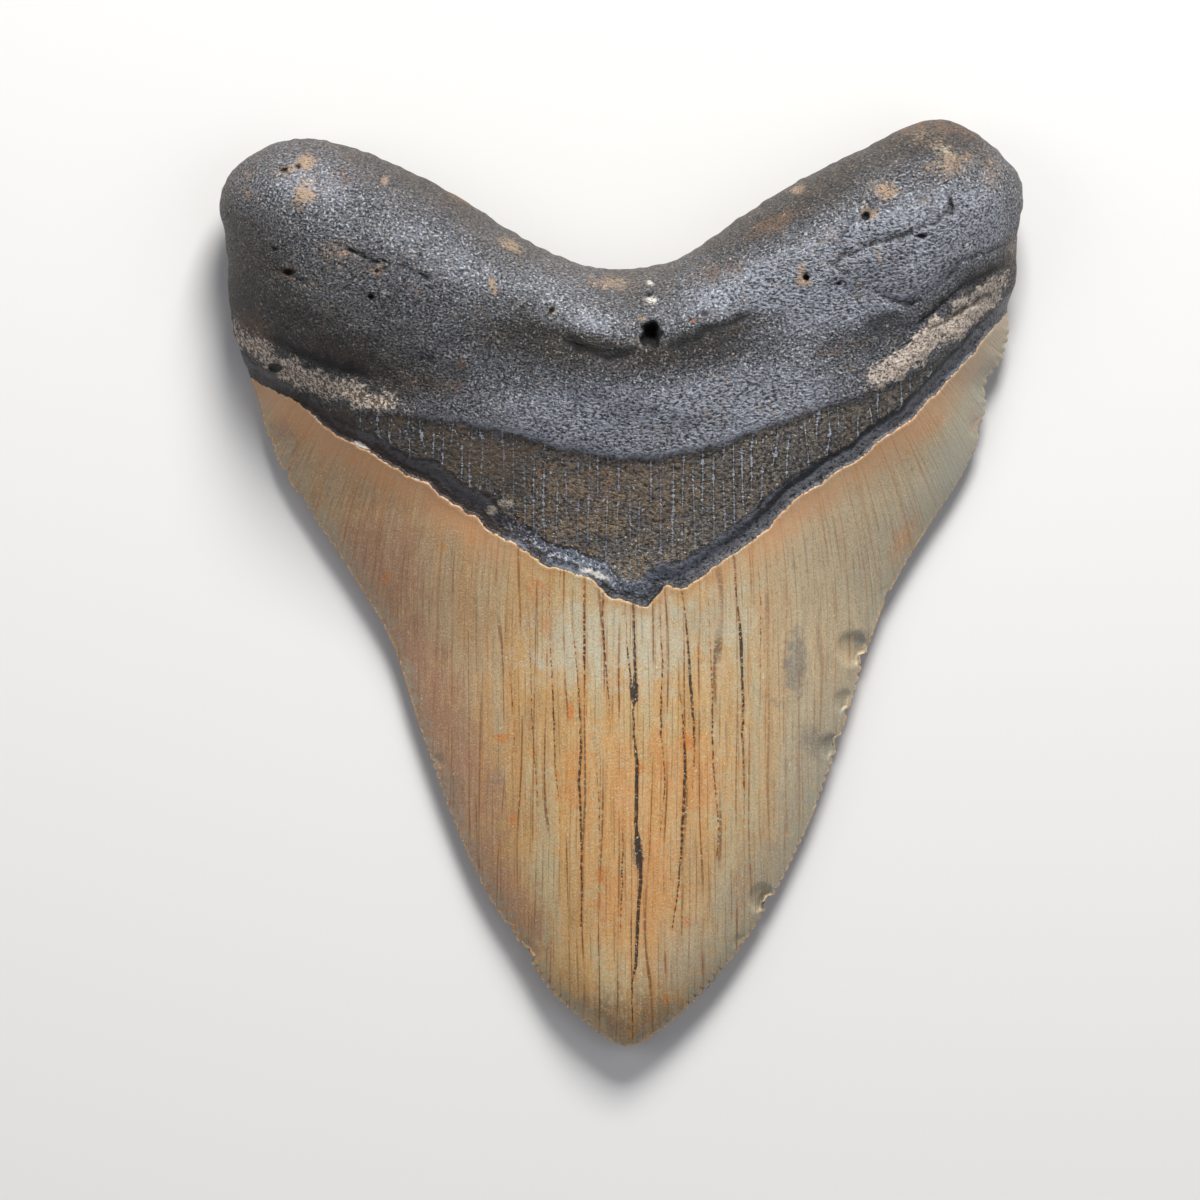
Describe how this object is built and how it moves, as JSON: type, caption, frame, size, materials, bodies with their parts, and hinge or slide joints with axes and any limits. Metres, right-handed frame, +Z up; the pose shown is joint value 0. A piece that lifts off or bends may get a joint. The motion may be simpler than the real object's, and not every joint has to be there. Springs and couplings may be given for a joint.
{
  "type": "megalodon tooth",
  "caption": "Fossil shark tooth with a lobed dark root and a broad tan serrated blade, lying on its outer face as a display or study piece",
  "frame": {"origin": "bottom centre of the bounding box, on the ground under the lying tooth", "axes": "+Y from the tip to the root, +X to the right seen from above, +Z up, away from the outer face that it lies on"},
  "size_m": [0.1046, 0.1206, 0.0247],
  "materials": {
    "fossil_tooth": "satin enamel, grainy matt root"
  },
  "bodies": {
    "root": {"tooth": "fossil_tooth"}
  },
  "joints": []
}
